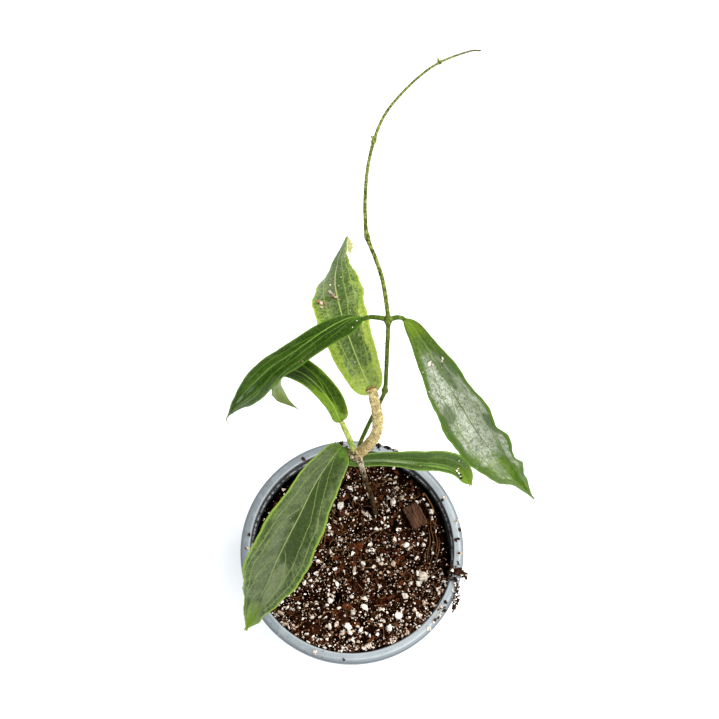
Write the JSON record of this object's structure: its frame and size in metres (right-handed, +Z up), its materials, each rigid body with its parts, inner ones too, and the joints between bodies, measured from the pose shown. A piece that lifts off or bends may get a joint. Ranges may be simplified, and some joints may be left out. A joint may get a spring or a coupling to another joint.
{
  "type": "potted hoya plant",
  "caption": "Young potted hoya: a round blue-grey nursery pot of bark and perlite mix, a short woody stem, long leathery leaves and an arching leafless shoot.",
  "frame": {"origin": "centre of the pot's flat underside", "axes": "+Z up; the longest shoot and the mottled leaf lean towards +Y; the silvery leaf hangs towards +X"},
  "size_m": [0.13, 0.2536, 0.2435],
  "materials": {
    "pot": "satin moulded plastic",
    "soil": "loose potting mix with perlite and bark",
    "bark": "rough bark",
    "woody_stem": "dry, streaked bark",
    "vine": "smooth green stem",
    "leaf": "waxy, semi-gloss",
    "leaf_mottled": "waxy, grey-mottled"
  },
  "bodies": {
    "root": {"pot": "pot", "soil": "soil", "bark_chip": "bark", "spilled_soil": "soil", "woody_stem": "woody_stem", "vine": "vine", "leaf_lower_left": "leaf", "leaf_mottled": "leaf_mottled", "leaf_curled": "leaf", "leaf_right": "leaf", "leaf_vine_left": "leaf", "leaf_vine_right": "leaf"}
  },
  "joints": []
}
